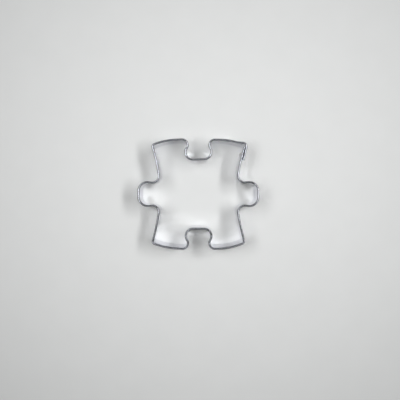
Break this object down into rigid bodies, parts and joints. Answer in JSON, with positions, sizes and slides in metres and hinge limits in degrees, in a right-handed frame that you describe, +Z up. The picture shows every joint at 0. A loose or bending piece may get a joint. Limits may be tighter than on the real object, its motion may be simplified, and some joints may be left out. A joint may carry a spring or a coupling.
{
  "type": "cookie cutter",
  "caption": "Pastry cutter in the outline of a jigsaw piece, bent from one hemmed strip of thin steel that is lapped and spot-welded at a corner; its lower edge cuts rolled dough.",
  "frame": {"origin": "middle of the outline on the table, level with the cutting edge", "axes": "+X along the line through both tabs, towards the side with the lapped seam, +Y towards the socket beside the seam (the picture's top), +Z up, towards the hemmed rim"},
  "size_m": [0.0754, 0.0688, 0.025],
  "materials": {
    "strip_steel": "bright mill finish with fine rolling lines along the strip",
    "weld_steel": "duller pressed spot with a faint heat tint"
  },
  "bodies": {
    "root": {"hemmed_strip": "strip_steel", "spot_weld_1": "weld_steel", "spot_weld_2": "weld_steel", "spot_weld_3": "weld_steel"}
  },
  "joints": []
}
